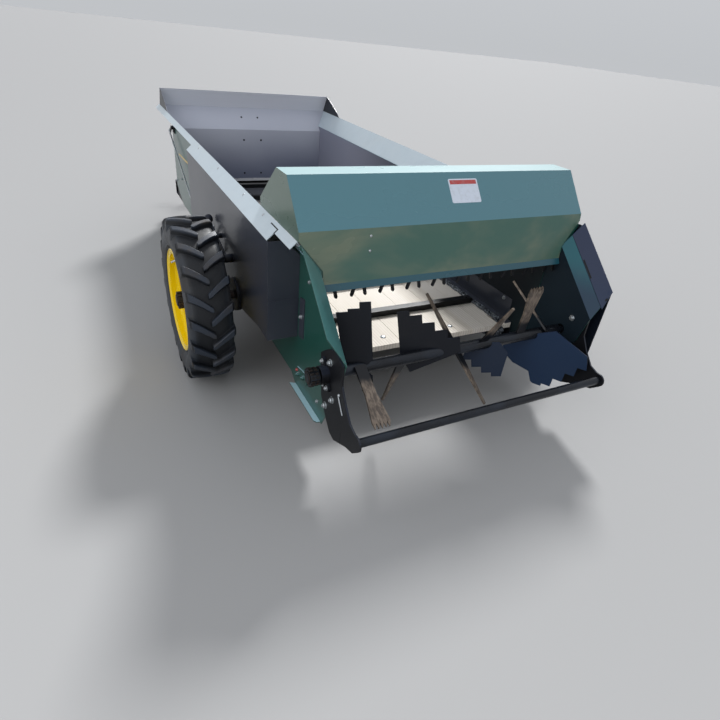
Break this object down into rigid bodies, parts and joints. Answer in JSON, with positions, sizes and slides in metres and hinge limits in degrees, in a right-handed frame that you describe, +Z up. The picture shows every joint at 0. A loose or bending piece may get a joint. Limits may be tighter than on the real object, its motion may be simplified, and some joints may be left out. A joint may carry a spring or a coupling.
{
  "type": "manure spreader",
  "caption": "Towed ground driven spreader: open box on two lugged wheels with slatted floor conveyor, rear beater with stepped paddles under a hood, guard bar, tongue and swinging jack.",
  "frame": {"origin": "on the ground under the middle of the machine's box, midway between guard bar and hitch tip", "axes": "+Y towards the hitch, +Z up, +X to the right looking forward"},
  "size_m": [1.888, 4.163, 0.992],
  "materials": {
    "green_paint": "gloss powder coat",
    "black_paint": "satin powder coat",
    "galvanised": "galvanised",
    "boards": "sanded boards",
    "tyre_rubber": "matt rubber",
    "yellow_paint": "gloss paint",
    "zinc": "zinc plated",
    "chain_steel": "oiled steel"
  },
  "bodies": {
    "frame": {"floor_boards": "boards", "side_wall_left": "green_paint", "side_wall_right": "green_paint", "rail_left": "galvanised", "rail_right": "galvanised", "side_cover_left": "black_paint", "side_cover_right": "black_paint", "closure_left": "black_paint", "closure_right": "black_paint", "rear_plate_left": "green_paint", "rear_plate_right": "green_paint", "beater_cover": "black_paint", "front_panel": "black_paint", "hood": "green_paint", "hood_teeth": "black_paint", "arm_left": "black_paint", "arm_right": "black_paint", "guard_bar": "black_paint", "beater_bearings": "black_paint", "sills": "black_paint", "cross_members": "black_paint", "axle_housings": "black_paint", "conveyor_chains": "chain_steel", "conveyor_slats": "chain_steel", "conveyor_shafts": "black_paint", "headstock": "black_paint", "tongue": "black_paint", "tongue_braces": "black_paint", "hitch": "black_paint", "jack_mount": "black_paint", "control_lever": "black_paint", "control_rod": "zinc"},
    "wheel_left": {"tyre_left": "tyre_rubber", "rim_left": "yellow_paint", "axle_left": "black_paint"},
    "wheel_right": {"tyre_right": "tyre_rubber", "rim_right": "yellow_paint", "axle_right": "black_paint"},
    "beater": {"beater_shaft": "black_paint", "beater_paddles": "black_paint", "beater_arms": "black_paint"},
    "jack": {"jack_tube": "zinc", "jack_foot": "zinc", "jack_crank": "zinc"}
  },
  "joints": [
    {"name": "wheel_left_spin", "type": "hinge", "parent": "frame", "child": "wheel_left", "pos_m": [-0.854, -1.0355, 0.348], "axis": [1, 0, 0], "continuous": true},
    {"name": "wheel_right_spin", "type": "hinge", "parent": "frame", "child": "wheel_right", "pos_m": [0.854, -1.0355, 0.348], "axis": [1, 0, 0], "continuous": true},
    {"name": "beater_spin", "type": "hinge", "parent": "frame", "child": "beater", "pos_m": [0, -1.7985, 0.386], "axis": [1, 0, 0], "continuous": true},
    {"name": "jack_swing", "type": "hinge", "parent": "frame", "child": "jack", "pos_m": [-0.106, 1.8055, 0.33853], "axis": [1, 0, 0], "range_deg": [-90, 0]}
  ]
}
